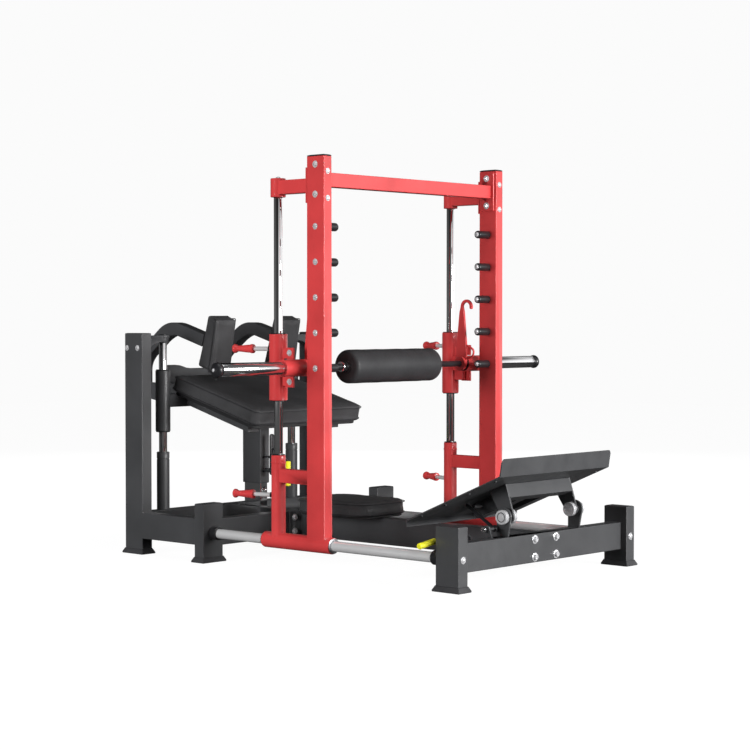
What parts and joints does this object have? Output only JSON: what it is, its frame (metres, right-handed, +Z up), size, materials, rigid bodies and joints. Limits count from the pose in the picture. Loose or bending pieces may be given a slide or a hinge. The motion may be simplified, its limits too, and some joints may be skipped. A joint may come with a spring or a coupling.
{
  "type": "hip thrust machine",
  "caption": "Plate-loaded hip thrust machine with a sliding gantry, guided bar with foam roller and lock hooks, height-adjustable back rest and tilting foot plate.",
  "frame": {"origin": "on the floor, under the middle of the bounding box", "axes": "+X towards the foot plate, the way the user faces; +Y to the user's left; +Z up"},
  "size_m": [2.36, 2.156, 1.7853],
  "materials": {
    "red_paint": "satin red powder coat",
    "dark_paint": "satin dark grey powder coat",
    "chrome": "polished",
    "rubber": "moulded",
    "upholstery": "black artificial leather",
    "foam": "black foam grip",
    "yellow_grip": "yellow grip on metal rod",
    "black_finish": "black"
  },
  "bodies": {
    "base": {"front_base_frame": "dark_paint", "rear_base_frame": "dark_paint", "spine_beam": "dark_paint", "front_boot_right": "rubber", "front_boot_left": "rubber", "middle_boot_right": "rubber", "middle_boot_left": "rubber", "rear_boot_right": "rubber", "rear_boot_left": "rubber", "guide_rod_right": "chrome", "guide_rod_left": "chrome", "seat_pad": "upholstery", "column_inner_tube": "chrome", "rear_rod_right": "chrome", "rear_rod_left": "chrome", "rear_rod_holder_right": "dark_paint", "rear_rod_holder_left": "dark_paint", "foot_pivot_bolt_right": "chrome", "foot_pivot_bolt_left": "chrome"},
    "gantry": {"gantry_side_right": "red_paint", "gantry_side_left": "red_paint", "top_bracket_right": "red_paint", "top_bracket_left": "red_paint", "upright_rod_right": "chrome", "upright_rod_left": "chrome", "upright_cap_right": "black_finish", "upright_cap_left": "black_finish", "band_peg_lower_right": "red_paint", "band_peg_lower_left": "red_paint", "top_cross_beam": "red_paint", "rack_peg_right_1": "black_finish", "rack_peg_right_2": "black_finish", "rack_peg_right_3": "black_finish", "rack_peg_right_4": "black_finish", "rack_peg_right_5": "black_finish", "rack_peg_left_1": "black_finish", "rack_peg_left_2": "black_finish", "rack_peg_left_3": "black_finish", "rack_peg_left_4": "black_finish", "rack_peg_left_5": "black_finish"},
    "bar_carriage": {"slider_right": "red_paint", "slider_left": "red_paint", "band_peg_upper_right": "red_paint", "band_peg_upper_left": "red_paint"},
    "bar": {"bar_shaft": "black_finish", "lock_hook_right": "red_paint", "lock_hook_left": "red_paint"},
    "plate_sleeve_right": {"plate_sleeve_right": "chrome"},
    "plate_sleeve_left": {"plate_sleeve_left": "chrome"},
    "hip_roller": {"hip_roller": "foam"},
    "back_rest": {"backrest_carriage": "dark_paint", "back_pad": "upholstery", "back_pad_board": "dark_paint", "shoulder_pad_right": "upholstery", "shoulder_pad_left": "upholstery"},
    "height_adjuster": {"height_adjuster": "yellow_grip"},
    "foot_plate": {"foot_plate": "dark_paint", "foot_plate_frame": "dark_paint"},
    "prop": {"prop_rod": "black_finish"},
    "release_lever": {"release_lever": "yellow_grip"}
  },
  "joints": [
    {"name": "gantry_slide", "type": "slide", "parent": "base", "child": "gantry", "axis": [1, 0, 0], "range_m": [-0.28, 0.35]},
    {"name": "carriage_slide", "type": "slide", "parent": "gantry", "child": "bar_carriage", "axis": [0, 0, 1], "range_m": [-0.23, 0.45]},
    {"name": "bar_twist", "type": "hinge", "parent": "bar_carriage", "child": "bar", "pos_m": [0.231, 0, 0.88], "axis": [0, 1, 0], "range_deg": [0, 24]},
    {"name": "roller_spin", "type": "hinge", "parent": "bar", "child": "hip_roller", "pos_m": [0.231, 0, 0.88], "axis": [0, 1, 0], "continuous": true},
    {"name": "plate_sleeve_spin_right", "type": "hinge", "parent": "bar", "child": "plate_sleeve_right", "pos_m": [0.231, -0.86, 0.88], "axis": [0, 1, 0], "continuous": true},
    {"name": "plate_sleeve_spin_left", "type": "hinge", "parent": "bar", "child": "plate_sleeve_left", "pos_m": [0.231, 0.86, 0.88], "axis": [0, 1, 0], "continuous": true},
    {"name": "backrest_slide", "type": "slide", "parent": "base", "child": "back_rest", "axis": [0, 0, 1], "range_m": [-0.085, 0.125]},
    {"name": "adjuster_pull", "type": "slide", "parent": "back_rest", "child": "height_adjuster", "axis": [1, 0, 0], "range_m": [0, 0.025], "stiffness_N_per_m": 800},
    {"name": "foot_plate_tilt", "type": "hinge", "parent": "base", "child": "foot_plate", "pos_m": [1.086, 0, 0.2745], "axis": [0, 1, 0], "range_deg": [0, 20]},
    {"name": "prop_swing", "type": "hinge", "parent": "base", "child": "prop", "pos_m": [1.047, -0.262, 0.226], "axis": [0, 1, 0], "range_deg": [0, 20]},
    {"name": "release_lever_turn", "type": "hinge", "parent": "base", "child": "release_lever", "pos_m": [0.994, -0.352, 0.158], "axis": [-1, 0, 0], "range_deg": [0, 25]}
  ],
  "couplings": [
    {"joint": "prop_swing", "follows": "foot_plate_tilt", "ratio": 1}
  ]
}
